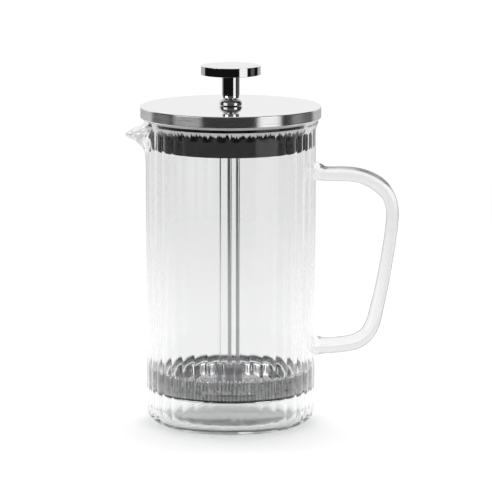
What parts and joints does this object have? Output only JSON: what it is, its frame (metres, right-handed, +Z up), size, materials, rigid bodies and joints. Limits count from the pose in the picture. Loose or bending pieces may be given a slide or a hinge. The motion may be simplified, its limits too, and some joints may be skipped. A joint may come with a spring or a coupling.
{
  "type": "french press",
  "caption": "Cylindrical ribbed glass coffee press with a bent glass bar handle, small pouring spout, polished steel lid and a sliding plunger with a round knob.",
  "frame": {"origin": "centre of the beaker's flat foot, on the beaker axis", "axes": "+Z up along the beaker axis, +X towards the handle, -X towards the spout"},
  "size_m": [0.162, 0.1062, 0.2123],
  "materials": {
    "glass": "clear, ribbed",
    "polished_steel": "mirror polished",
    "steel_wire": "drawn or woven wire",
    "black_plastic": "gloss moulded"
  },
  "bodies": {
    "beaker": {"beaker": "glass", "handle": "glass"},
    "lid_guide": {"guide_ferrule": "polished_steel", "guide_bush": "polished_steel", "guide_washer": "steel_wire", "guide_nut": "steel_wire"},
    "lid": {"lid_cap": "polished_steel", "lid_collar": "black_plastic"},
    "plunger": {"knob_disc": "polished_steel", "knob_stud": "steel_wire", "knob_stem": "polished_steel", "plunger_rod": "polished_steel", "hub_boss": "polished_steel", "hub_washer": "steel_wire", "spring_plate": "polished_steel", "edge_spring": "steel_wire", "filter_mesh": "steel_wire", "cross_plate": "polished_steel", "hub_nut": "polished_steel"}
  },
  "joints": [
    {"name": "lid_lift", "type": "slide", "parent": "beaker", "child": "lid_guide", "axis": [0, 0, 1], "range_m": [0, 0.175]},
    {"name": "lid_turn", "type": "hinge", "parent": "lid_guide", "child": "lid", "pos_m": [0, 0, 0.185], "axis": [0, 0, 1], "continuous": true},
    {"name": "plunger_slide", "type": "slide", "parent": "lid_guide", "child": "plunger", "axis": [0, 0, 1], "range_m": [0, 0.13]}
  ]
}
